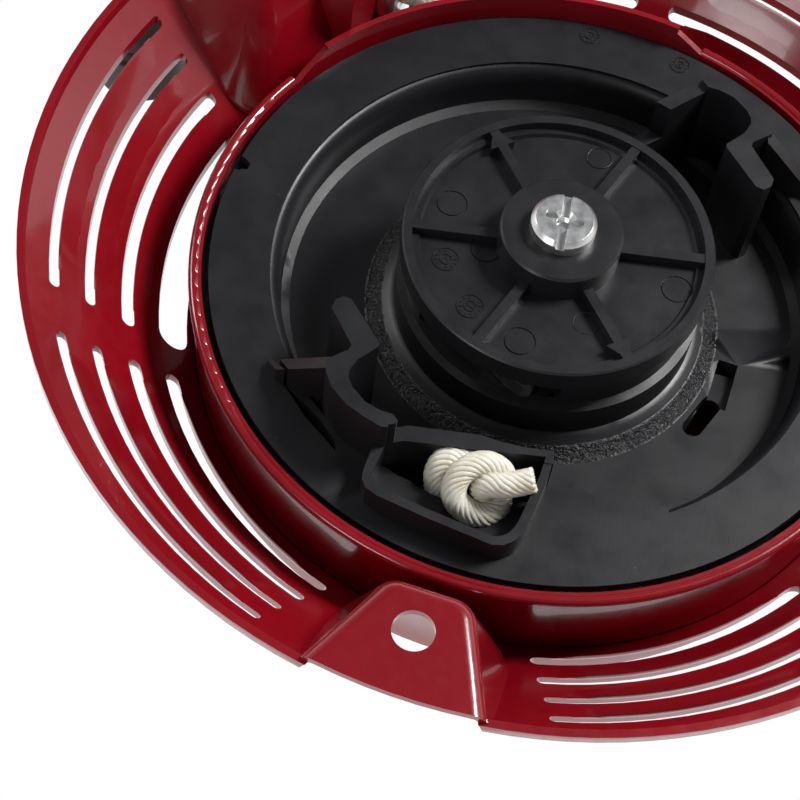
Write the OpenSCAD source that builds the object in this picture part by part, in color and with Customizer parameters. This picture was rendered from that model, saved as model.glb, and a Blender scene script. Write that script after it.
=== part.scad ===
// Recoil starter for a small single-cylinder engine, engine side up.
// Z is the crank axis. The origin is the centre of the three mounting holes,
// on the face of the mounting pads. Millimetres.

/* [Case] */
// Outside diameter of the pressed case rim
case_d = 194; // [190:1:198]
// Sheet thickness of the pressed case
sheet_t = 1.4; // [1.2:0.1:1.6]
// Depth of the outer face below the mounting pads
case_depth = 44; // [44:0.5:48]
// Pitch circle diameter of the mounting holes
bolt_pcd = 170; // [168:1:171]
// Diameter of the mounting holes
bolt_hole_d = 7.2; // [6.4:0.1:8]
// Direction of the pad next to the rope knot, degrees from +X
pad_angle = 259.4; // [255:0.1:264]
// Number of cooling slots in each row
slot_rows = 4; // [1:1:4]

/* [Reel] */
// Outside diameter of the reel flange
reel_d = 126.6; // [124:0.2:127]
// Radius of the wound rope's centre line
wind_r = 56; // [55.8:0.1:57]
// Rope diameter
rope_d = 4.8; // [4:0.1:5]
// Turns of rope on the reel at rest
rope_turns = 3.17; // [2:0.01:3.2]
// Height of the two tall hooks above the recess floor
hook_h = 22.5; // [18:0.5:23]

/* [Hub] */
// Diameter of the ratchet drum
drum_d = 55.6; // [54:0.2:56.5]
// Diameter of the ratchet guide plate
guide_d = 57.4; // [56:0.2:58]
// Diameter of the centre post
post_d = 12; // [11:0.5:12]
// Diameter of the centre screw head
screw_head_d = 12; // [11:0.5:13]
// Number of radial ribs on the guide plate
guide_ribs = 6; // [6:1:6]

/* [Grip] */
// Length of the pull handle's cross bar
grip_len = 96; // [80:1:96]
// Depth of the cross bar along the pull
grip_depth = 18; // [16:1:20]

/* [Hidden] */
$fn = 96;
case_r = case_d/2;
t = sheet_t;
zr = -2;                       // case rim
zfl = -16.9;                   // top of the reel flange
zrec = -27;                    // recess floor of the reel
zdeck = -14.3;                 // ratchet deck
rr = rope_d/2;
zrope = -22;                   // height of the rope where it leaves the reel
slope = 1.08;
cone_z0 = -2.95;
pull_a = 164;                  // direction of the pull
face_u = 57.5;                 // rope facet, distance along the pull

function cz(r) = cone_z0 - slope*(case_r - r);          // cone, engine side
function czo(r) = cone_z0 - slope*(case_r + t*1.364 - r); // cone, outer side
function pol(r, a) = [r*cos(a), r*sin(a)];
function arc(c, r, a0, a1, n) = [for (i = [0:n]) c + pol(r, a0 + (a1-a0)*i/n)];
function unit(v) = v/norm(v);

// Tube along a path: rings square to the path, closed at both ends
module tube(p, r, n = 12) {
  m = len(p);
  tg = [for (i = [0:m-1]) unit(i == 0 ? p[1]-p[0] : i == m-1 ? p[m-1]-p[m-2] : p[i+1]-p[i-1])];
  pts = [for (i = [0:m-1]) let (s = unit(cross(tg[i], [0, 0, 1])), u = cross(s, tg[i]))
         for (k = [0:n-1]) p[i] + r*(cos(360*k/n)*s + sin(360*k/n)*u)];
  faces = concat([[for (k = [0:n-1]) k]],
    [for (i = [0:m-2]) for (k = [0:n-1]) [i*n+k, (i+1)*n+k, (i+1)*n+(k+1)%n]],
    [for (i = [0:m-2]) for (k = [0:n-1]) [i*n+k, (i+1)*n+(k+1)%n, i*n+(k+1)%n]],
    [[for (k = [n-1:-1:0]) (m-1)*n+k]]);
  polyhedron(pts, faces, convexity = 6);
}

// ---------- case ----------
module cone_out() rotate_extrude() polygon([[0, zr], [0, -case_depth+0.6], [41.4, -case_depth+0.6],
  [42, -case_depth], [65.2, -case_depth], [67.4, -case_depth+2.2], [67.4, czo(67.4)],
  [case_r-1, czo(case_r-1)], [case_r, -4], [case_r, zr]]);
module cone_in() rotate_extrude() polygon([[0, 20], [0, -case_depth+2], [42, -case_depth+2],
  [42.6, -case_depth+t], [64.8, -case_depth+t], [66, -case_depth+t+1.2], [66, cz(66)],
  [case_r-t, cz(case_r-t)], [case_r-t, 20]]);

pl = [80.2, -4.4];             // corner centres of a pad's outline
pr = [81, 4.6];
// Outline of a pad, inset by d
function pad_ring(d) = concat(arc(pl, 4-d, 244.3, 180, 6), arc(pr, 5-d, 180, 113.5, 6),
  [pr + (5-d)*pol(1, 113.5) + 50*pol(1, 23.5)], [pl + (4-d)*pol(1, 244.3) + 50*pol(1, -25.7)]);
pad_r = 3;                     // rounding of the pad's edge
pad_draft = 20;
// Levels of a pad from the top down, the sheet's under side at d
pad_foot = 25;                 // depth where the drafted wall turns upright
function pad_inset(h, d) = pad_r - (pad_r-d)*cos(pad_draft) - (h - pad_r + (pad_r-d)*sin(pad_draft))*tan(pad_draft);
function pad_levels(d) = concat(
  [for (i = [0:5]) let (f = 90 - (90-pad_draft)*i/5) [-pad_r + (pad_r-d)*sin(f), pad_r - (pad_r-d)*cos(f)]],
  [[-pad_foot, pad_inset(pad_foot, d)], [-50, pad_inset(pad_foot, d)]]);
module pad_block(d) {
  lv = pad_levels(d);
  m = len(lv);
  n = len(pad_ring(0));
  polyhedron([for (l = lv) for (q = pad_ring(l[1])) [q[0], q[1], l[0]]], concat(
    [[for (k = [0:n-1]) k]],
    [for (i = [0:m-2]) for (k = [0:n-1]) [i*n+k, (i+1)*n+k, (i+1)*n+(k+1)%n]],
    [for (i = [0:m-2]) for (k = [0:n-1]) [i*n+k, (i+1)*n+(k+1)%n, i*n+(k+1)%n]],
    [[for (k = [n-1:-1:0]) (m-1)*n+k]]), convexity = 4);
}

// Flat facet of the case that carries the rope bushing
module facet_block(d) rotate(pull_a) intersection() {
  translate([face_u + d, -67 + d, -37.5 - d]) cube([60, 31 - 2*d, 37.5 + zr - 3.5]);
  translate([0, 0, -37.5]) cylinder(r = 140, h = 60);
}

module slot2d(r0, r1, a0, a1) {
  m = (r0+r1)/2; w = (r1-r0)/2;
  intersection() {
    difference() { circle(r = r1); circle(r = r0); }
    polygon([[0, 0], pol(120, a0), pol(136, (a0+a1)/2), pol(120, a1)]);
  }
  for (a = [a0, a1]) translate(pol(m, a)) circle(r = w*0.97, $fn = 24);
}
slot_in = [90, 83.9, 77, 69.9];
slot_out = [91.7, 85.6, 79.2, 72.4];
module slots(a0, a1, wide) for (k = [0:slot_rows-1])
  slot2d(wide && k == 3 ? 67.2 : slot_in[k], slot_out[k], a0 + (wide && k == 3 ? 2 : 0), a1 - (wide && k == 3 ? 1.4 : 0));
module slot_cut() translate([0, 0, -42]) linear_extrude(60) {
  da = pad_angle - 259.4;
  slots(154.2 + da, 194.8 + da, true);
  slots(201.9 + da, 242.9 + da, false);
  slots(275.9 + da, 316.8 + da, false);
  slots(323.4 + da, 362.4 + da, false);
  slots(36.2 + da, 75.9 + da, false);
  slots(82.4 + da, 98.4 + da, false);
}

module pads(d) for (k = [0:2]) rotate(pad_angle + 120*k) pad_block(d);
module case_shell() color("#b01426") difference() {
  union() {
    cone_out();
    intersection() { pads(0); translate([0, 0, zr-2]) cylinder(r = case_r - 0.6, h = 20); }
  }
  pads(t);
  facet_block(t);
  difference() {
    cone_in();
    intersection() { pads(0); cylinder(r = case_r - 0.6, h = 400, center = true); }
    facet_block(0);
  }
  slot_cut();
  for (k = [0:2]) rotate(pad_angle + 120*k) translate([bolt_pcd/2, 0, -10]) cylinder(d = bolt_hole_d, h = 20);
  // hole for the rope bushing
  rotate(pull_a) translate([face_u - 5, -wind_r, zrope]) rotate([0, 90, 0]) cylinder(r = 5, h = 12);
  // rivet hole of the centre post
  translate([0, 0, -case_depth-1]) cylinder(r = 4, h = 6);
}

// Inner ring round the reel, rolled lip at the top, raised bridge over the rope window
ring_ri = 64.6; ring_ro = 65.8;
module ring_at(z0, z1) translate([0, 0, z0]) difference() { cylinder(r = ring_ro, h = z1-z0); translate([0, 0, -1]) cylinder(r = ring_ri, h = z1-z0+2); }
module lip(z) translate([0, 0, z - 1]) rotate_extrude() union() {
  translate([ring_ro + 0.2, 0]) circle(r = 1, $fn = 32);
  translate([ring_ri, -1]) square([1.4, 1.6]);
}
module wedge(a0, a1, r, z0, z1) translate([0, 0, z0]) linear_extrude(z1-z0)
  polygon(concat([[0, 0]], [for (i = [0:12]) pol(r, a0 + (a1-a0)*i/12)]));
module reel_housing() color("#a81224") {
  difference() {
    union() {
      difference() { union() { ring_at(-case_depth+t, -16.8); lip(-16.2); } wedge(68, 146, 90, -19, 0); }
      intersection() { ring_at(-26, -12.2); wedge(73, 139, 90, -30, 0); }
      // sloping steps at both ends of the bridge
      difference() {
        intersection() { ring_at(-30, -12.2); wedge(66.5, 147.5, 90, -40, 0); }
        for (s = [[139, 146.5], [73, 67.5]]) rotate((s[0]+s[1])/2) translate([ring_ro, 0, -14.2 + 8]) rotate([sign(s[1]-s[0])*-28, 0, 0]) translate([-12, -20, -8 - 0]) cube([24, 40, 16]);
      }
      // foot flange under the reel
      translate([0, 0, -case_depth+t]) difference() { cylinder(r = ring_ro, h = 0.9); translate([0, 0, -1]) cylinder(r = 60, h = 3); }
    }
    // rope window
    rotate(pull_a) translate([-12, -wind_r-14, zrope-4]) rotate([0, 0, 0]) cube([70, 19.5, 7.4]);
  }
}

module rope_bushing() color("#d0d0cc") rotate(pull_a) translate([face_u, -wind_r, zrope]) rotate([0, 90, 0])
  rotate_extrude() polygon([[rr+0.5, -3], [rr+1.3, -3.6], [6.4, -3.6], [7.2, -2.8], [7.2, -0.05], [4.95, -0.05],
    [4.95, t+0.15], [7, t+0.15], [7, t+1.4], [6.2, t+2.2], [rr+1.2, t+2.2], [rr+0.5, t+1.5]]);

module post_base() color("#8d8f92") translate([0, 0, -case_depth+2]) difference() {
  cylinder(r = 17, h = 1.1);
  translate([0, 0, -1]) cylinder(r = 4, h = 4);
}
module centre_post() color("#b9bbbd") difference() {
  union() {
    translate([0, 0, -case_depth+3.1]) cylinder(d = post_d, h = case_depth-3.1-9.25);
    translate([0, 0, -case_depth+0.1]) cylinder(r = 4, h = 4);
    translate([0, 0, -9.6]) cylinder(r = 4.4, h = 5.8);
    // collar that holds the spring
    translate([0, 0, -40.9]) cylinder(r = 7.6, h = 10.6);
  }
  translate([0, 0, -24]) cylinder(r = 2.5, h = 30);
  // slot that holds the inner end of the main spring
  translate([-0.5, 0, -41.5]) cube([1, 10, 11.2]);
}
// Spiral power spring, inner end in the post, outer end hooked to the reel cup
function sr(f) = 8.2 + 39*f;
module main_spring() color("#5b6066") {
  turns = 8.5;
  n = 220;
  ang0 = 90;
  translate([0, 0, -40.2]) linear_extrude(9.6) polygon(concat([[-0.5, 5.2], [-0.5, 8.2]],
    [for (i = [1:n]) pol(sr(i/n), ang0 + 360*turns*i/n)], [[0.6, -47.2], [0.6, -51], [0.05, -51]],
    [for (i = [n:-1:1]) pol(sr(i/n) + 0.55, ang0 + 360*turns*i/n)], [[0.1, 8.8], [0.1, 5.2]]));
}

// ---------- reel ----------
hook_pts = concat(
  [[-38.3, -22.2], [-37.9, -20.4], [-36.6, -19.4], [-35.1, -19.8], [-29.2, -27.6], [-28.9, -28.6], [-29.6, -29.3],
   [-32.2, -32.0], [-33.3, -34.4], [-33.2, -35.9], [-32.2, -37.7], [-29.6, -40.2], [-26.8, -41.4], [-24.6, -41.7],
   [-23.6, -42.8], [-23.9, -44.2], [-26.2, -44.6], [-29.3, -43.2], [-32.7, -41.3], [-35.8, -38.3], [-37.3, -35.2],
   [-37.5, -33.0], [-36.2, -31.9], [-34.0, -30.2], [-33.7, -29.2]]);
module hook() translate([0, 0, zrec-1]) linear_extrude(hook_h + 1) polygon(hook_pts);
// rib from the hook's neck out to the flange, falling away outwards
module hook_rib() translate([0, 0, zrec-1]) difference() {
  linear_extrude(hook_h+1) polygon([[-36.6, -34.4], [-37.0, -31.6], [-49.6, -27.8], [-50.2, -30.2]]);
  translate([-37.4, -33, hook_h - 0.2]) rotate([0, 0, 163]) rotate([0, 40, 0]) translate([-2, -12, 0]) cube([40, 24, 30]);
}
module reel_body2d() difference() {
  union() {
    // cup wall, rope groove and the two flanges
    translate([50, -41.4]) square([3.5, 17.4]);
    translate([52, -41.4]) square([11.2, 2]);
    translate([52, zfl - 2]) square([reel_d/2 - 52, 2]);
    // recess floor
    translate([24, zrec - 2.4]) square([27, 2.4]);
    // fillet of the shoulder inside the recess
    polygon([[50, -24.2], [50, zfl-4.6], [50.15, zfl-3.3], [50.6, zfl-2.1], [51.3, zfl-1.1], [52.3, zfl-0.4], [53.4, zfl-0.05], [54.6, zfl], [54.6, zfl-2], [53.5, zfl-2], [53.5, -24.2]]);
    polygon([[50.5, zrec-1], [48, zrec-1], [48, zrec], [49.6, zrec+1.2], [50.4, zrec+3.4], [51, zrec+3.4]]);
  }
}
module drum2d() union() {
  // hub sleeve
  translate([post_d/2+0.06, -30]) square([4.2, 30-9.3]);
  // deck
  translate([8, zdeck - 2.4]) square([drum_d/2-9, 2.4]);
  // drum wall with its ledge
  polygon([[24.9, -28], [24.9, -9.2], [drum_d/2-0.6, -9.2], [drum_d/2-0.6, -16.4], [drum_d/2+0.8, -17], [drum_d/2+0.8, -24],
           [29.6, -24.5], [33, zrec], [33, -29.4], [24.9, -29.4]]);
}
box_pts = [[-26.8, -42.3], [-28.1, -50.0], [-28.0, -51.4], [-27.2, -52.9], [-25.1, -54.1], [-15.8, -56.9], [-4.4, -59.9], [-2.4, -59.6], [-0.6, -58.4], [0.5, -56.9], [1.2, -55.2], [3.8, -45.2]];
function inset_box() = [[-25.0, -43.9], [-26.4, -49.4], [-26.3, -50.6], [-25.6, -51.7], [-24.1, -52.5], [-16.1, -55.1], [-4.6, -58.2], [-3.1, -58.0], [-1.8, -57.1], [-0.9, -55.8], [-0.3, -54.3], [2.2, -45.4], [2.9, -41.2], [-9, -41.9], [-21.9, -42.7]];
notch_pts = [[-46.4, -28.3], [-43.7, -32.7], [-39.5, -35.8], [-36.6, -38.6], [-33.9, -41.7], [-33.5, -43.7], [-35.6, -41.7], [-40.1, -37.6], [-44.9, -31.7], [-47.4, -28.4]];
module reel() color("#2b2c30") difference() {
  union() {
    rotate_extrude() reel_body2d();
    rotate_extrude() drum2d();
    hook(); rotate(180) hook();
    intersection() { union() { hook_rib(); rotate(180) hook_rib(); } difference() { cylinder(r = 56, h = 80, center = true); cylinder(r = 40, h = 90, center = true); } }
    // plateau beside the knot pocket, level with the flange
    translate([0, 0, zrec-1]) linear_extrude(zfl - zrec + 1) polygon(concat([[3.9, -43.9], [16.7, -43.8], [25.6, -44.0]], [for (a = [300:-5:235]) pol(54.4, a)], [[-25.2, -41.6], [-21.6, -43.4]]));
    // wall between hub and knot pocket
    translate([0, 0, zrec-1]) linear_extrude(zrec*-1 + 1 - 11.2) polygon([[-26.4, -44.6], [-26.2, -42.2], [-23.6, -40.3], [-21.6, -39.5], [-9, -39.0], [2.6, -38.3], [4.2, -38.9], [4.4, -42.4], [2.6, -42.4], [-22.4, -44.2]]);
    // wall opposite, joining the second hook to the drum
    rotate(180) translate([0, 0, zrec-1]) linear_extrude(hook_h+1-1.2) polygon([[-25.2, -43.6], [-24.2, -41.2], [-15.9, -33.8], [-8.3, -28.2], [-6.6, -30.2], [-14.2, -36.0], [-21.9, -42.9], [-23.2, -44.3]]);
    // rim of the knot pocket above the flange
    translate([0, 0, zfl-2]) linear_extrude(2 - zfl - 11.4) polygon(concat(box_pts, [[4.2, -41.8]]));
    // radial stiffeners inside the spring cup floor
    for (a = [20:60:320]) rotate(a) translate([13, -1, -29.4]) cube([11.5, 2, 12.8]);
  }
  // knot pocket
  translate([0, 0, -17.8]) linear_extrude(30) polygon(inset_box());
  intersection() { translate([0, 0, -23.6]) linear_extrude(30) polygon(inset_box()); cylinder(r = 51, h = 99, center = true); }
  // rope way from the groove into the knot pocket
  translate([0, 0, -25.0]) linear_extrude(5.9) polygon([[-38.6, -42.8], [-33.9, -38.2], [-18, -44.6], [-19, -50.2], [-28, -50], [-35.2, -47.2]]);
  // open notch in the flange beside the first hook
  translate([0, 0, -25]) linear_extrude(30) polygon(notch_pts);
  rotate(180) translate([0, 0, -29.4+2.4]) linear_extrude(30) polygon(notch_pts);
  // ratchet windows
  for (k = [0, 1]) rotate(180*k) difference() { wedge(213, 279, 40, zdeck, 0); translate([0, 0, -30]) cylinder(r = 24.5, h = 40); }
  // pockets for the ratchet springs
  for (k = [0, 1]) rotate(212 + 180*k) translate([18.5, 0, zdeck-1.5]) difference() { cylinder(r = 4.2, h = 3); translate([0, 0, -1]) cylinder(r = 2.5, h = 5); }
  // slot for the main spring's outer end
  rotate(270) translate([49.4, -2.5, -41.5]) cube([2.4, 5, 11.6]);
  // oblong hole with its ramp in the recess floor
  for (p = [0]) translate([0, 0, -32]) linear_extrude(8) polygon(concat(arc([30.5, -20.6], 1.9, 158, 338, 8), arc([33.6, -15.0], 1.9, -22, 158, 8)));
  translate([0, 0, zrec]) translate([34.6, -14.5, 0]) rotate([0, 0, -10]) rotate([-8.5, 0, 0]) translate([-1.9, -1, -1.2]) cube([3.8, 10.5, 3]);
  // locating notch in the flange rim
  rotate(166.3) translate([62.6, 0, -20]) linear_extrude(6) polygon([[3, -1.9], [0, -1.6], [-1.6, -0.7], [-1.6, 0.7], [0, 1.6], [3, 1.9]]);
  // assembly holes in the recess floor
  for (a = [150]) rotate(a) translate([41, 0, -32]) cylinder(r = 2, h = 3);
}
// pivot posts of the ratchets are moulded with the reel
module reel_posts() color("#2b2c30") for (k = [0, 1]) rotate(212 + 180*k) translate([18.5, 0, zdeck-2]) cylinder(r = 2.5, h = 2 + 5);

// ---------- rope ----------
module rope_winding() color("#ddd8c4") {
  n = round(38*rope_turns);
  e = [cos(pull_a), sin(pull_a), 0];
  p0 = [wind_r*cos(pull_a-90), wind_r*sin(pull_a-90), zrope];
  tube(concat([for (u = [13, 9, 5]) p0 + u*e],
    [for (i = [0:n]) let (a = pull_a - 90 - 360*rope_turns*i/n) [wind_r*cos(a), wind_r*sin(a), zrope - max(0, i-3)*4.9*rope_turns/n]]), rr, 12);
}
module rope_knot() color("#e2dcc6") hull() {
  translate([-11.6, -49.2, -15.6]) sphere(r = 4.6, $fn = 16);
  translate([-5.4, -49.6, -15.6]) sphere(r = 4.8, $fn = 16);
  translate([-1.6, -46.4, -14]) sphere(r = 2.6, $fn = 16);
  translate([-8, -46.8, -13.4]) sphere(r = 4.2, $fn = 16);
}
module rope_lead() color("#ddd8c4") rotate(pull_a) translate([31.6, -wind_r, zrope]) rotate([0, 90, 0]) cylinder(r = rr, h = face_u + 3.4 - 31.6);

// ---------- ratchets ----------
// steel pawl, pivot at the origin, nose along +X
module pawl2d() polygon(concat(arc([0, 0], 4.3, 75, 270, 16), [[6, -4.3], [13, -3.6], [19.5, -2.5], [22.4, -1.3], [23.2, 0.2], [22.6, 1.4], [14, 2.8], [5, 4.1]]));
module pawl(k) rotate(212 + 180*k) translate([18.5, 0, 0]) rotate(-264) difference() {
  translate([0, 0, zdeck + 0.3]) linear_extrude(3.9) pawl2d();
  translate([0, 0, zdeck - 1]) cylinder(r = 2.55, h = 8);
}
module ratchet_a() color("#c4c6c9") pawl(0);
module ratchet_b() color("#c4c6c9") pawl(1);
module ratchet_springs() color("#9a9da1") for (k = [0, 1]) rotate(212 + 180*k) translate([18.5, 0, zdeck-0.8])
  union() {
    translate([0, 0, 0.2]) rotate_extrude($fn = 48) translate([3.3, 0]) circle(r = 0.35, $fn = 16);
    translate([0, 0, -0.3]) rotate_extrude($fn = 48) translate([3.3, 0]) circle(r = 0.35, $fn = 16);
  }

// ---------- guide plate ----------
module guide_plate() color("#232427") difference() {
  union() {
    rotate_extrude() polygon([[3.08, -3.6], [3.08, -0.6], [10.9, -0.6], [11.3, -1.0], [11.3, -6.4], [guide_d/2-3.6, -6.4], [guide_d/2-3.2, -5.7],
      [guide_d/2-1.9, -5.7], [guide_d/2-1.9, -4.1], [guide_d/2-0.3, -4.1], [guide_d/2, -4.4], [guide_d/2, -8.8], [11.6, -8.8], [11.3, -8.8], [4.6, -8.8], [4.6, -3.6]]);
    for (k = [0:guide_ribs-1]) rotate(123 + 60*k) translate([10, -0.95, -7]) cube([guide_d/2 - 11.2, 1.9, 2.7]);
    // arrow heads on two opposite ribs
    for (k = [0, 1]) rotate(123 + 180*k) translate([0, 0, -7]) linear_extrude(2.7) polygon([[23.2, -2.5], [27.4, 0], [23.2, 2.5]]);
    // two cams that push the ratchets out
    for (k = [0, 1]) rotate(262 + 180*k) translate([18, 0, -13.6]) cylinder(r = 1.6, h = 6);
  }
  // ring groove for the friction spring
  translate([0, 0, -8.9]) difference() { cylinder(r = 8.95, h = 2.2); translate([0, 0, -1]) cylinder(r = 7.05, h = 5); }
  // ejector marks
  for (p = [[-20.3, 5.9], [22.3, -4.9], [-4.6, -21.5], [-12.9, -3.0]]) translate([p[0], p[1], -6.6]) difference() { cylinder(r = 2.9, h = 1); translate([0, 0, -1]) cylinder(r = 2.65, h = 3); }
}
module friction_spring() color("#a9acb0") translate([0, 0, -7.7]) difference() {
  rotate_extrude($fn = 64) translate([8, 0]) circle(r = 0.9, $fn = 20);
  rotate(40) translate([0, -1.2, -3]) cube([14, 2.4, 6]);
}
module thrust_washer() color("#b4b6b8") translate([0, 0, -9.25]) difference() { cylinder(r = 5.9, h = 0.35); translate([0, 0, -1]) cylinder(r = 4.42, h = 3); }

module centre_screw() color("#d9dbdc") difference() {
  union() {
    translate([0, 0, -0.55]) rotate_extrude() polygon([[0, 0], [screw_head_d/2, 0], [screw_head_d/2, 2.2], [screw_head_d/2-0.8, 3.05], [0, 3.05]]);
    translate([0, 0, -3.75]) cylinder(r = 3, h = 3.4);
    translate([0, 0, -20]) cylinder(r = 2.5, h = 17);
  }
  // full-width slot and the cross
  rotate(88) translate([-8, -0.8, 1.1]) cube([16, 1.6, 3]);
  rotate(-12) translate([-3.5, -0.8, 1.1]) cube([7, 1.6, 3]);
  translate([0, 0, 0.2]) cylinder(r1 = 1, r2 = 2.1, h = 2.4);
}

// ---------- pull grip ----------
gu = face_u + 4.2;             // where the grip's nose starts
gc = 94;                       // centre of the cross bar
module bar2d(d) { gl = grip_len/2 - grip_depth/2;
  union() { translate([-grip_depth/2 + d, -gl]) square([grip_depth - 2*d, 2*gl]); for (s = [-1, 1]) translate([0, s*gl]) circle(r = grip_depth/2 - d, $fn = 64); } }
module grip_body() color("#26272a") rotate(pull_a) translate([0, -wind_r, zrope]) difference() {
  union() {
    // cross bar, crowned in steps
    translate([gc, 0, -6.5]) { translate([0, 0, 1.6]) linear_extrude(9.8) bar2d(0); translate([0, 0, 0.5]) linear_extrude(12) bar2d(1); linear_extrude(13) bar2d(2.4); }
    // tapered stem and nose
    translate([gu, 0, 0]) rotate([0, 90, 0]) rotate_extrude() polygon([[0, 0], [6.2, 0], [7.4, 1.2], [7.4, 3.2], [6.4, 6], [5.7, 16], [6.3, gc - gu - 3], [0, gc - gu - 3]]);
  }
  // rope way
  translate([gu - 1, 0, 0]) rotate([0, 90, 0]) cylinder(r = rr + 0.3, h = gc - gu + 1);
  // chamber for the rope's knot, closed by the cap
  translate([gc - 1, 0, 0]) rotate([0, 90, 0]) cylinder(r = 4.5, h = 20);
}
module grip_cap() color("#1f2022") rotate(pull_a) translate([gc + grip_depth/2 - 2.2, -wind_r, zrope]) rotate([0, 90, 0])
  rotate_extrude() polygon([[0, 0], [4.45, 0], [4.45, 1.7], [3.8, 2.2], [0, 2.2]]);
module grip_washer() color("#b8babc") rotate(pull_a) translate([gc - 0.95, -wind_r, zrope]) rotate([0, 90, 0]) difference() { cylinder(r = 4.3, h = 1); translate([0, 0, -1]) cylinder(r = rr + 0.3, h = 3); }
module grip_rope() color("#ddd8c4") rotate(pull_a) translate([0, -wind_r, zrope]) rotate([0, 90, 0]) {
  translate([0, 0, gu + 0.2]) cylinder(r = rr, h = gc - gu);
  translate([0, 0, gc + 3.0]) sphere(r = 2.85, $fn = 32);
}

case_shell();
reel_housing();
rope_bushing();
post_base();
centre_post();
main_spring();
union() { reel(); reel_posts(); }
rope_winding();
rope_knot();
rope_lead();
ratchet_a();
ratchet_b();
ratchet_springs();
guide_plate();
friction_spring();
thrust_washer();
centre_screw();
grip_body();
grip_cap();
grip_washer();
grip_rope();
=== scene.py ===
"""Looks of the recoil starter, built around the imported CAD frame."""
import math

import bmesh
import bpy
import numpy as np
from mathutils import Matrix, Vector


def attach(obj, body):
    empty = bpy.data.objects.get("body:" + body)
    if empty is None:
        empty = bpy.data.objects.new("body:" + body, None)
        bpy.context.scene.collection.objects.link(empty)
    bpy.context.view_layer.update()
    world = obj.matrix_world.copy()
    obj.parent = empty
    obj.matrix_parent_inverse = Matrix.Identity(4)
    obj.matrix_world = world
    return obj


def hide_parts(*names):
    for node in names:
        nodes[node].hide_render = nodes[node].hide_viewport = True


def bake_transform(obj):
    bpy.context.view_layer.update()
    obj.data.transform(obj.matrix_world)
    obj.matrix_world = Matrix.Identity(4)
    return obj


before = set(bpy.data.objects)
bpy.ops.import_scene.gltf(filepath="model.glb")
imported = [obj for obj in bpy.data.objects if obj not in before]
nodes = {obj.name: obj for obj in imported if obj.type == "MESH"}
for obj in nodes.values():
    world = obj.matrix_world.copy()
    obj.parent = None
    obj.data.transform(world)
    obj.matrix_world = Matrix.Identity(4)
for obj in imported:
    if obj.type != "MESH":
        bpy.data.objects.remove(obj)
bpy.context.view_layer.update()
MM = 0.001
scene = bpy.context.scene


# ------------------------------------------------------------------ helpers
def link(obj):
    scene.collection.objects.link(obj)
    return obj


def mesh_obj(name, verts, faces, smooth=True):
    me = bpy.data.meshes.new(name)
    me.from_pydata([tuple(v) for v in verts], [], faces)
    me.update()
    if smooth:
        me.polygons.foreach_set("use_smooth", [True] * len(me.polygons))
    return link(bpy.data.objects.new(name, me))


def join_parts(name, parts, smooth=True):
    """parts: list of (verts, faces) in mm, made into one object in metres."""
    verts, faces = [], []
    for vs, fs in parts:
        o = len(verts)
        verts += [tuple(float(c) * MM for c in v) for v in vs]
        faces += [[i + o for i in f] for f in fs]
    return mesh_obj(name, verts, faces, smooth)


def smooth_group(angle_deg):
    """Geometry nodes group: shade faces smooth and mark edges sharp by angle."""
    name = "smooth_by_angle_%d" % round(angle_deg * 10)
    g = bpy.data.node_groups.get(name)
    if g:
        return g
    g = bpy.data.node_groups.new(name, "GeometryNodeTree")
    g.interface.new_socket("Geometry", in_out="INPUT", socket_type="NodeSocketGeometry")
    g.interface.new_socket("Geometry", in_out="OUTPUT", socket_type="NodeSocketGeometry")
    n, l = g.nodes, g.links
    gi, go = n.new("NodeGroupInput"), n.new("NodeGroupOutput")
    face = n.new("GeometryNodeSetShadeSmooth")
    face.domain = "FACE"
    face.inputs["Shade Smooth"].default_value = True
    ang = n.new("GeometryNodeInputMeshEdgeAngle")
    cmp_ = n.new("FunctionNodeCompare")
    cmp_.data_type = "FLOAT"
    cmp_.operation = "LESS_EQUAL"
    cmp_.inputs["B"].default_value = math.radians(angle_deg)
    edge = n.new("GeometryNodeSetShadeSmooth")
    edge.domain = "EDGE"
    l.new(gi.outputs[0], face.inputs["Geometry"])
    l.new(face.outputs[0], edge.inputs["Geometry"])
    l.new(ang.outputs["Unsigned Angle"], cmp_.inputs["A"])
    l.new(cmp_.outputs["Result"], edge.inputs["Shade Smooth"])
    l.new(edge.outputs[0], go.inputs[0])
    return g


def soften(obj, width=0.35, segments=2, angle=32, dissolve=0.6):
    """Round the edges of a CAD node with modifiers only."""
    me = obj.data
    if "custom_normal" in me.attributes:
        me.attributes.remove(me.attributes["custom_normal"])
    me.polygons.foreach_set("use_smooth", [True] * len(me.polygons))
    w = obj.modifiers.new("weld", "WELD")
    w.merge_threshold = 2e-6
    if dissolve:
        d = obj.modifiers.new("flat", "DECIMATE")
        d.decimate_type = "DISSOLVE"
        d.angle_limit = math.radians(dissolve)
    if width:
        b = obj.modifiers.new("edge", "BEVEL")
        b.width = width * MM
        b.segments = segments
        b.limit_method = "ANGLE"
        b.angle_limit = math.radians(angle)
        b.use_clamp_overlap = True
        b.miter_outer = "MITER_ARC"
        b.harden_normals = False
    s = obj.modifiers.new("smooth", "NODES")
    s.node_group = smooth_group(38)
    if dissolve:
        n = obj.modifiers.new("normals", "WEIGHTED_NORMAL")
        n.keep_sharp = True
        n.weight = 60


# ---- materials
def new_mat(name):
    m = bpy.data.materials.new(name)
    m.use_nodes = True
    nt = m.node_tree
    bsdf = nt.nodes["Principled BSDF"]
    return m, nt, bsdf


def noise(nt, scale, detail=3.0, rough=0.55, coords=None, dist=0.0):
    n = nt.nodes.new("ShaderNodeTexNoise")
    n.inputs["Scale"].default_value = scale
    n.inputs["Detail"].default_value = detail
    n.inputs["Roughness"].default_value = rough
    n.inputs["Distortion"].default_value = dist
    if coords is not None:
        nt.links.new(coords, n.inputs["Vector"])
    return n


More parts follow.
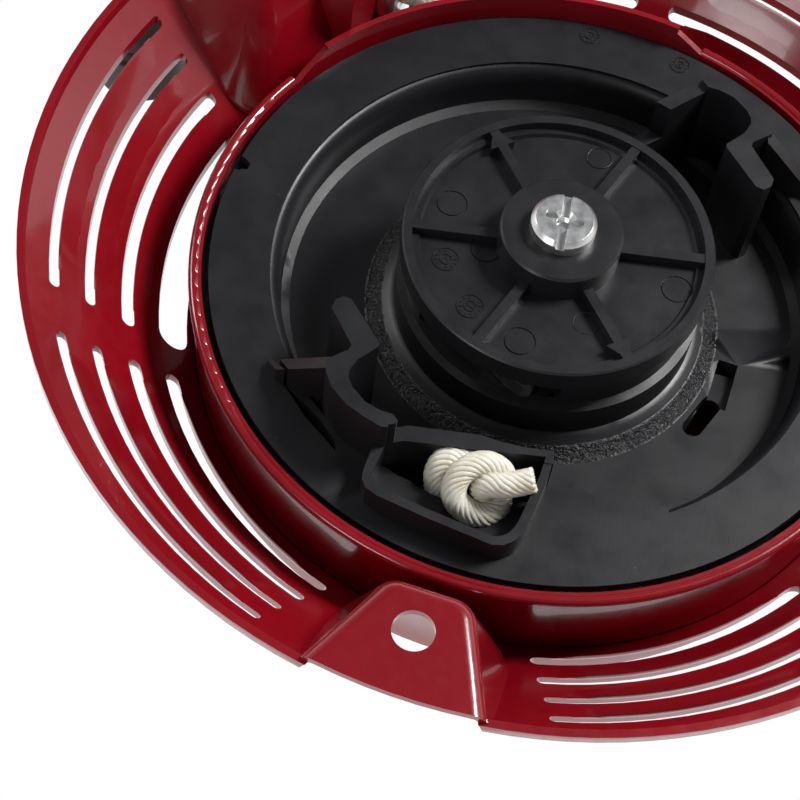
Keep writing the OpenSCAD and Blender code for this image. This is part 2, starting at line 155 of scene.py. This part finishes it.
def ramp(nt, src, stops):
    r = nt.nodes.new("ShaderNodeValToRGB")
    els = r.color_ramp.elements
    while len(els) < len(stops):
        els.new(0.5)
    for e, (p, c) in zip(els, stops):
        e.position = p
        e.color = c if len(c) == 4 else (*c, 1)
    nt.links.new(src, r.inputs[0])
    return r


def maprange(nt, src, a, b, c, d):
    m = nt.nodes.new("ShaderNodeMapRange")
    for k, v in zip(("From Min", "From Max", "To Min", "To Max"), (a, b, c, d)):
        m.inputs[k].default_value = v
    nt.links.new(src, m.inputs["Value"])
    return m.outputs["Result"]


def math_node(nt, op, a, b=None, clamp=False):
    m = nt.nodes.new("ShaderNodeMath")
    m.operation = op
    m.use_clamp = clamp
    for i, v in enumerate((a, b)):
        if v is None:
            continue
        if hasattr(v, "is_linked") or hasattr(v, "links"):
            nt.links.new(v, m.inputs[i])
        else:
            m.inputs[i].default_value = v
    return m.outputs[0]


def bump(nt, bsdf, height, strength, distance, prev=None):
    b = nt.nodes.new("ShaderNodeBump")
    b.inputs["Strength"].default_value = strength
    b.inputs["Distance"].default_value = distance
    nt.links.new(height, b.inputs["Height"])
    if prev is not None:
        nt.links.new(prev, b.inputs["Normal"])
    nt.links.new(b.outputs[0], bsdf.inputs["Normal"])
    return b.outputs[0]


def obj_coords(nt):
    return nt.nodes.new("ShaderNodeTexCoord").outputs["Object"]


def paint_material():
    m, nt, p = new_mat("gloss_red_paint")
    co = obj_coords(nt)
    n1 = noise(nt, 28, 4, 0.6, co)
    r = ramp(nt, n1.outputs["Fac"], [(0.30, (0.195, 0.0016, 0.0060)), (0.62, (0.240, 0.0022, 0.0080)), (0.80, (0.285, 0.0032, 0.0100))])
    nt.links.new(r.outputs[0], p.inputs["Base Color"])
    n2 = noise(nt, 420, 2, 0.5, co)
    nt.links.new(maprange(nt, n2.outputs["Fac"], 0.3, 0.7, 0.19, 0.27), p.inputs["Roughness"])
    p.inputs["Specular IOR Level"].default_value = 0.55
    p.inputs["Coat Weight"].default_value = 0.6
    p.inputs["Coat Roughness"].default_value = 0.06
    n3 = noise(nt, 330, 2, 0.5, co)      # orange peel
    b1 = bump(nt, p, n3.outputs["Fac"], 0.22, 0.00010)
    n4 = noise(nt, 60, 3, 0.55, co)      # waviness of the pressed sheet
    bump(nt, p, n4.outputs["Fac"], 0.25, 0.0004, b1)
    return m


def plastic_material(name, base, rough=(0.34, 0.46), grain=1500, grain_d=0.00003, spec=0.45, etched=False, dust=True):
    m, nt, p = new_mat(name)
    co = obj_coords(nt)
    n1 = noise(nt, 45, 4, 0.6, co)
    lo = tuple(c * 0.86 for c in base)
    hi = tuple(c * 1.16 for c in base)
    r = ramp(nt, n1.outputs["Fac"], [(0.3, lo), (0.7, hi)])
    colour = r.outputs[0]
    if dust:
        v = nt.nodes.new("ShaderNodeTexVoronoi")
        v.feature = "F1"
        v.inputs["Scale"].default_value = 330
        nt.links.new(co, v.inputs["Vector"])
        spot = maprange(nt, v.outputs["Distance"], 0.0, 0.075, 1.0, 0.0)
        v2 = noise(nt, 90, 2, 0.5, co)
        keep = maprange(nt, v2.outputs["Fac"], 0.60, 0.68, 0.0, 1.0)
        f = math_node(nt, "MULTIPLY", spot, keep, True)
        f = math_node(nt, "MULTIPLY", f, 0.5, True)
        mx = nt.nodes.new("ShaderNodeMix")
        mx.data_type = "RGBA"
        nt.links.new(f, mx.inputs["Factor"])
        nt.links.new(colour, mx.inputs[6])
        mx.inputs[7].default_value = (0.30, 0.30, 0.31, 1)
        colour = mx.outputs[2]
    nt.links.new(colour, p.inputs["Base Color"])
    n2 = noise(nt, 130, 4, 0.6, co)
    nt.links.new(maprange(nt, n2.outputs["Fac"], 0.3, 0.7, *rough), p.inputs["Roughness"])
    p.inputs["Specular IOR Level"].default_value = spec
    n3 = noise(nt, grain, 2, 0.5, co)
    nb = bump(nt, p, n3.outputs["Fac"], 0.35, grain_d)
    if etched:
        # spark-eroded ring round the foot of the drum
        sep = nt.nodes.new("ShaderNodeSeparateXYZ")
        nt.links.new(co, sep.inputs[0])
        x2 = math_node(nt, "MULTIPLY", sep.outputs[0], sep.outputs[0])
        y2 = math_node(nt, "MULTIPLY", sep.outputs[1], sep.outputs[1])
        rad = math_node(nt, "SQRT", math_node(nt, "ADD", x2, y2))
        a = maprange(nt, rad, 0.0306, 0.0310, 0.0, 1.0)
        b = maprange(nt, rad, 0.0334, 0.0338, 1.0, 0.0)
        c = maprange(nt, sep.outputs[2], -0.0236, -0.0243, 0.0, 1.0)
        mask = math_node(nt, "MULTIPLY", math_node(nt, "MULTIPLY", a, b), c, True)
        n5 = noise(nt, 900, 3, 0.7, co)
        h = math_node(nt, "MULTIPLY", maprange(nt, n5.outputs["Fac"], 0.35, 0.65, 0.0, 1.0), mask)
        bump(nt, p, h, 1.0, 0.00028, nb)
    return m


def metal_material(name, base, rough=(0.22, 0.34), grain=900, streak=None, dirt=0.0):
    m, nt, p = new_mat(name)
    co = obj_coords(nt)
    n1 = noise(nt, 240, 4, 0.6, co)
    lo = tuple(c * (0.82 - dirt) for c in base)
    r = ramp(nt, n1.outputs["Fac"], [(0.28, lo), (0.66, base)])
    nt.links.new(r.outputs[0], p.inputs["Base Color"])
    p.inputs["Metallic"].default_value = 1.0
    n2 = noise(nt, 500, 3, 0.6, co)
    nt.links.new(maprange(nt, n2.outputs["Fac"], 0.3, 0.7, *rough), p.inputs["Roughness"])
    n3 = noise(nt, grain, 2, 0.6, co)
    bump(nt, p, n3.outputs["Fac"], 0.35, 0.00003)
    return m


def rope_material():
    m, nt, p = new_mat("silky_rope")
    co = obj_coords(nt)
    at = nt.nodes.new("ShaderNodeAttribute")
    at.attribute_name = "strand"
    n1 = noise(nt, 300, 3, 0.6, co)
    r = ramp(nt, n1.outputs["Fac"], [(0.28, (0.62, 0.56, 0.40)), (0.55, (0.80, 0.77, 0.66)), (0.8, (0.88, 0.86, 0.79))])
    nt.links.new(r.outputs[0], p.inputs["Base Color"])
    p.inputs["Roughness"].default_value = 0.34
    p.inputs["Specular IOR Level"].default_value = 0.55
    p.inputs["Sheen Weight"].default_value = 0.25
    p.inputs["Sheen Roughness"].default_value = 0.4
    p.inputs["Subsurface Weight"].default_value = 0.12
    p.inputs["Subsurface Radius"].default_value = (0.0012, 0.0010, 0.0007)
    p.inputs["Subsurface Scale"].default_value = 0.5
    n2 = noise(nt, 1900, 2, 0.6, co)
    bump(nt, p, n2.outputs["Fac"], 0.4, 0.00008)
    return m


MAT = {
    "paint": paint_material(),
    "reel": plastic_material("moulded_black_reel", (0.0085, 0.0088, 0.0104), etched=True),
    "guide": plastic_material("moulded_black_guide", (0.0095, 0.0098, 0.0114), rough=(0.30, 0.42)),
    "grip": plastic_material("soft_black_grip", (0.026, 0.027, 0.029), rough=(0.5, 0.64), grain=2200, grain_d=0.00006, dust=False),
    "zinc": metal_material("bright_zinc", (0.86, 0.87, 0.86), rough=(0.28, 0.38)),
    "steel": metal_material("ground_steel", (0.55, 0.55, 0.54), rough=(0.26, 0.42), dirt=0.2),
    "spring": metal_material("oiled_spring_steel", (0.30, 0.32, 0.36), rough=(0.25, 0.4), dirt=0.3),
    "rope": rope_material(),
}


def dress(obj, mat):
    obj.data.materials.clear()
    obj.data.materials.append(mat)
    for pl in obj.data.polygons:
        pl.material_index = 0


LOOK = {
    "case_shell": ("paint", 0.42, 3), "reel_housing": ("paint", 0, 0), "rope_bushing": ("zinc", 0.25, 2),
    "post_base": ("steel", 0.15, 2), "centre_post": ("steel", 0.25, 2), "main_spring": ("spring", 0.08, 1),
    "reel": ("reel", 0.30, 2), "rope_winding": ("rope", 0, 0), "rope_knot": ("rope", 0, 0), "rope_lead": ("rope", 0, 0),
    "ratchet_a": ("steel", 0.35, 2), "ratchet_b": ("steel", 0.35, 2), "ratchet_springs": ("spring", 0, 0),
    "guide_plate": ("guide", 0.25, 2), "friction_spring": ("spring", 0, 0), "thrust_washer": ("steel", 0.08, 1),
    "centre_screw": ("zinc", 0.28, 3), "grip_body": ("grip", 0.9, 3), "grip_cap": ("grip", 0.4, 2),
    "grip_washer": ("steel", 0.15, 2), "grip_rope": ("rope", 0, 0),
}
for name, (mat, width, seg) in LOOK.items():
    dress(nodes[name], MAT[mat])
    soften(nodes[name], width, seg, dissolve=0 if name in ("reel", "reel_housing") else 0.6)


# ------------------------------------------------------------------ rope
def catmull(pts, step):
    """Points every `step` mm on a smooth curve through pts."""
    p = [np.array(q, float) for q in pts]
    p = [2 * p[0] - p[1]] + p + [2 * p[-1] - p[-2]]
    out = []
    for i in range(1, len(p) - 2):
        a, b, c, d = p[i - 1], p[i], p[i + 1], p[i + 2]
        for t in np.linspace(0, 1, 24, endpoint=False):
            out.append(0.5 * ((2 * b) + (-a + c) * t + (2 * a - 5 * b + 4 * c - d) * t * t + (-a + 3 * b - 3 * c + d) * t ** 3))
    out.append(p[-2])
    out = np.array(out)
    s = np.concatenate([[0], np.cumsum(np.linalg.norm(np.diff(out, axis=0), axis=1))])
    n = max(2, int(round(s[-1] / step)))
    u = np.linspace(0, s[-1], n + 1)
    return np.stack([np.interp(u, s, out[:, k]) for k in range(3)], 1)


def frames(path):
    t = np.gradient(path, axis=0)
    t /= np.linalg.norm(t, axis=1)[:, None]
    ref = np.array([0.0, 0.0, 1.0]) if abs(t[0][2]) < 0.8 else np.array([1.0, 0.0, 0.0])
    n = [np.cross(t[0], np.cross(ref, t[0]))]
    n[0] /= np.linalg.norm(n[0])
    for i in range(1, len(t)):
        v = n[-1] - t[i] * np.dot(n[-1], t[i])
        n.append(v / np.linalg.norm(v))
    n = np.array(n)
    return t, n, np.cross(t, n)


def tube_part(path, radius, sides=8, flat=None, cap=True):
    t, n, b = frames(path)
    vs, fs = [], []
    rad = radius if hasattr(radius, "__len__") else [radius] * len(path)
    for i, c in enumerate(path):
        for k in range(sides):
            a = 2 * math.pi * k / sides
            vs.append(c + rad[i] * (math.cos(a) * n[i] + math.sin(a) * b[i]))
    m = len(path)
    for i in range(m - 1):
        for k in range(sides):
            k2 = (k + 1) % sides
            fs.append([i * sides + k, i * sides + k2, (i + 1) * sides + k2, (i + 1) * sides + k])
    if cap:
        fs.append([k for k in range(sides - 1, -1, -1)])
        fs.append([(m - 1) * sides + k for k in range(sides)])
    return vs, fs


def laid_rope(path, dia, strands=8, pitch=17.0, sides=8, core=True, phase=0.0, fray=0.0):
    """Strands laid round a core along a path, in mm."""
    r = dia / 2
    rs = r * math.sin(math.pi / strands) / (1 + math.sin(math.pi / strands)) * 1.18
    rc = r - rs
    t, n, b = frames(path)
    s = np.concatenate([[0], np.cumsum(np.linalg.norm(np.diff(path, axis=0), axis=1))])
    parts = []
    for k in range(strands):
        a = phase + 2 * math.pi * (k / strands + s / pitch)
        c = path + rc * (np.cos(a)[:, None] * n + np.sin(a)[:, None] * b)
        parts.append(tube_part(c, rs, sides))
    if core:
        parts.append(tube_part(path, rc * 0.93, 10))
    return parts


EL, ROLL, DIST, FPX = math.radians(58.74), math.radians(9.42), 0.3717, 2177.0
TARGET = Vector((-0.02378, -0.04024, -0.002))
FWD = Vector((0, math.cos(EL), -math.sin(EL)))
RIGHT = Vector((1, 0, 0))
UP = RIGHT.cross(FWD)
IR = math.cos(ROLL) * RIGHT + math.sin(ROLL) * UP
IU = -math.sin(ROLL) * RIGHT + math.cos(ROLL) * UP
IN = -FWD

# the knot in the reel's pocket, laid out in a plane that leans like the pocket's open side
KO = np.array([-7.6, -47.9, -14.3])
K = [(-9.0, -5.0, -9.6), (-7.6, -2.9, -6.9), (-7.4, 0.0, -4.4), (-7.4, 2.8, -2.6), (-6.0, 4.9, -2.0), (-3.4, 5.3, -2.5),
     (-0.4, 4.3, -3.3), (2.0, 2.4, -4.2), (3.5, -0.8, -4.3), (3.3, -3.1, -3.2), (1.2, -4.6, -1.6), (-1.6, -4.2, -0.5),
     (-4.0, -2.2, 0.2), (-4.5, 0.2, 0.9), (-3.3, 2.6, 1.3), (-1.0, 4.1, 1.1), (1.6, 4.3, 0.6), (3.7, 3.0, -0.6),
     (4.4, 0.9, -2.4), (3.2, -0.9, -4.2), (1.5, -0.9, -3.2), (0.4, 0.0, -0.6), (1.6, 0.8, 1.5), (4.0, 0.6, 2.3), (6.5, 1.0, 2.5), (9.2, 1.6, 2.7)]
kv = [KO + x * np.array(IR) + y * np.array(IU) + z * np.array(IN) for x, y, z in K]
kv = [np.array([-24.5, -45.8, -22.2]), np.array([-20.5, -46.8, -22.2])] + kv
kpath = catmull(kv, 0.35)
knot = join_parts("rope_knot_laid", laid_rope(kpath, 4.7, 11, 13.0, 7))
knot.data.materials.append(MAT["rope"])
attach(knot, "reel")
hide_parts("rope_knot")

# ------------------------------------------------------------------ moulded marks
def prism(outline, z0, z1):
    n = len(outline)
    vs = [(x, y, z0) for x, y in outline] + [(x, y, z1) for x, y in outline]
    return vs, [list(range(n - 1, -1, -1)), list(range(n, 2 * n))] + [[k, (k + 1) % n, n + (k + 1) % n, n + k] for k in range(n)]


def ring_part(cx, cy, z0, z1, r0, r1, n=40):
    vs, fs = [], []
    prof = [(r0, z0), (r0 + 0.05, z1), (r1 - 0.05, z1), (r1, z0)]
    for k in range(n):
        a = 2 * math.pi * k / n
        vs += [(cx + r * math.cos(a), cy + r * math.sin(a), z) for r, z in prof]
    for k in range(n):
        k2 = (k + 1) % n
        fs += [[4 * k + i, 4 * k2 + i, 4 * k2 + (i + 1) % 4, 4 * k + (i + 1) % 4] for i in range(4)]
    return vs, fs


def dial(name, host, mat, cx, cy, z, r, turn):
    """Generic date dial: a raised rim, ticks and an arrow."""
    h = 0.16
    parts = [ring_part(cx, cy, z - 0.2, z + h, r - 0.17, r + 0.02), ring_part(cx, cy, z - 0.2, z + h, r * 0.44 - 0.12, r * 0.44 + 0.04)]
    for k in range(12):
        a = math.radians(turn + 30 * k)
        c, q = math.cos(a), math.sin(a)
        w = 0.06
        r0, r1 = r * (0.66 if k % 3 else 0.58), r * 0.84
        parts.append(prism([(cx + x * c - y * q, cy + x * q + y * c) for x, y in ((r0, -w), (r1, -w), (r1, w), (r0, w))], z - 0.2, z + h * 0.8))
    a = math.radians(turn + 47)
    c, q = math.cos(a), math.sin(a)
    s_ = r * 0.36
    parts.append(prism([(cx + x * c - y * q, cy + x * q + y * c) for x, y in ((-s_, -0.09), (s_ * 0.1, -0.09), (s_ * 0.1, -0.28), (s_, 0), (s_ * 0.1, 0.28), (s_ * 0.1, 0.09), (-s_, 0.09))], z - 0.2, z + h))
    o = join_parts(name, parts, False)
    o.data.materials.append(MAT[mat])
    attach(o, host)
    return o


def polar(r, a):
    return r * math.cos(math.radians(a)), r * math.sin(math.radians(a))


dial("flange_dial_a", "reel", "reel", *polar(60.4, 88.3), -16.9, 2.0, 20)
dial("flange_dial_b", "reel", "reel", *polar(60.2, 70.2), -16.9, 2.0, 65)
dial("guide_dial_a", "guide", "guide", -19.8, -6.7, -6.4, 2.5, 10)
dial("guide_dial_b", "guide", "guide", -14.2, -15.9, -6.4, 2.5, 100)
mark = join_parts("guide_raised_marks", [ring_part(5.7, 21.8, -6.6, -6.2, 2.2, 2.5), ring_part(6.7, -15.4, -6.6, -6.28, 2.2, 2.42)], True)
mark.data.materials.append(MAT["guide"])
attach(mark, "guide")

# ------------------------------------------------------------------ wound rope
RW, PULL, ZR = 56.0, 164.0, -22.0
turns, nseg = 3.17, 1100
ex, ey = math.cos(math.radians(PULL)), math.sin(math.radians(PULL))
w0 = np.array([*polar(RW, PULL - 90), ZR])
step = 360 * turns / nseg
wind = [w0 + u * np.array([ex, ey, 0]) for u in (13.0, 10.0, 7.0, 4.0, 1.6)]
wind += [np.array([*polar(RW, PULL - 90 - step * i), ZR - max(0, step * i - 9.4) / 360 * 4.9 * turns / (turns - 9.4 / 360)]) for i in range(nseg + 1)]
wound = join_parts("rope_winding_laid", laid_rope(np.array(wind), 4.7, 8, 15.0, 6))
wound.data.materials.append(MAT["rope"])
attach(wound, "reel")
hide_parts("rope_winding")

# the rope through the bushing: one straight laid length along the pull line
def on_pull(u):
    return np.array([u * ex + RW * ey, u * ey - RW * ex, ZR])


lead_path = np.array([on_pull(u) for u in np.arange(32.0, 67.01, 0.5)])
lead = join_parts("rope_pulled", laid_rope(lead_path, 5.0, 10, 15.0, 6))
lead.data.materials.append(MAT["rope"])
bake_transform(lead)


# ------------------------------------------------------------------ louvre lips on the case
def cone_z(r):
    return -2.95 - 1.08 * (97 - r)


def lip_part(r, a0, a1):
    n = int((a1 - a0) / 1.2)
    vs, fs = [], []
    for i in range(n + 1):
        a = math.radians(a0 + (a1 - a0) * i / n)
        f = min(1.0, min(i, n - i) / 3.0)
        f = f * f * (3 - 2 * f)
        for rr, dz in ((r - 3.4, -0.05), (r - 1.6, 0.30 * f), (r - 0.5, 0.80 * f), (r - 0.02, 0.95 * f), (r + 0.12, 0.55 * f), (r - 0.05, -0.75), (r - 3.2, -0.75)):
            vs.append((rr * math.cos(a), rr * math.sin(a), cone_z(rr) + dz))
    for i in range(n):
        fs += [[7 * i + k, 7 * i + (k + 1) % 7, 7 * i + 7 + (k + 1) % 7, 7 * i + 7 + k] for k in range(7)]
    fs += [list(range(6, -1, -1)), [7 * n + k for k in range(7)]]
    return vs, fs


groups = [(156.5, 192.6), (204.0, 240.8), (278.0, 314.8), (325.5, 360.3), (38.3, 73.8)]
lips = join_parts("louvre_lips", [lip_part(r, *g) for i, g in enumerate(groups) for r in ((90.0, 83.9, 77.0) if i == 0 else (90.0, 83.9, 77.0, 69.9))])
bm = bmesh.new()
bm.from_mesh(lips.data)
bmesh.ops.recalc_face_normals(bm, faces=bm.faces)
bm.to_mesh(lips.data)
bm.free()
lips.data.materials.append(MAT["paint"])
lm = lips.modifiers.new("smooth", "NODES")
lm.node_group = smooth_group(50)
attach(lips, "case")

# ------------------------------------------------------------------ floor, light, camera
floor_me = mesh_obj("floor", [(-6, -6, -0.0442), (6, -6, -0.0442), (6, 6, -0.0442), (-6, 6, -0.0442)], [[0, 1, 2, 3]], False)
fm, fnt, fp = new_mat("pale_floor")
fp.inputs["Base Color"].default_value = (0.0, 0.0, 0.0, 1)
fp.inputs["Roughness"].default_value = 1.0
fp.inputs["Specular IOR Level"].default_value = 0.0
fp.inputs["Emission Color"].default_value = (1, 1, 1, 1)
fp.inputs["Emission Strength"].default_value = 1.0
floor_me.data.materials.append(fm)

world = bpy.data.worlds.new("studio")
scene.world = world
world.use_nodes = True
wnt = world.node_tree
wco = wnt.nodes.new("ShaderNodeTexCoord")
wsep = wnt.nodes.new("ShaderNodeSeparateXYZ")
wnt.links.new(wco.outputs["Generated"], wsep.inputs[0])
wr = ramp(wnt, wsep.outputs[2], [(0.0, (1, 1, 1)), (0.18, (0.95, 0.95, 0.95)), (0.42, (0.24, 0.24, 0.25)), (0.80, (0.09, 0.09, 0.10)), (1.0, (0.18, 0.18, 0.19))])
wnt.links.new(wr.outputs[0], wnt.nodes["Background"].inputs[0])
wnt.nodes["Background"].inputs[1].default_value = 1.0


def area(name, loc, aim, size, power, size_y=None):
    d = bpy.data.lights.new(name, "AREA")
    d.shape = "RECTANGLE"
    d.size = size
    d.size_y = size_y or size
    d.energy = power
    o = link(bpy.data.objects.new(name, d))
    o.location = loc
    o.rotation_euler = (Vector(aim) - Vector(loc)).to_track_quat("-Z", "Y").to_euler()
    return o


area("key", (0.50, 0.26, 0.60), (0, 0, 0), 0.24, 8.5, 0.24)
area("back_left", (-0.75, 0.35, 0.55), (0, 0, 0), 0.25, 2.6, 0.4)
area("front_left", (-0.5, -0.65, 0.5), (0, 0, 0), 0.30, 1.6, 0.3)

cam_d = bpy.data.cameras.new("camera")
cam_d.sensor_width = 36
cam_d.sensor_fit = "HORIZONTAL"
cam_d.lens = 36 * FPX / 800
cam_d.clip_start = 0.01
cam = link(bpy.data.objects.new("camera", cam_d))
rot = Matrix((IR, IU, IN)).transposed().to_4x4()
cam.matrix_world = Matrix.Translation(TARGET - DIST * FWD) @ rot
scene.camera = cam
scene.view_settings.view_transform = "Standard"
scene.view_settings.look = "None"
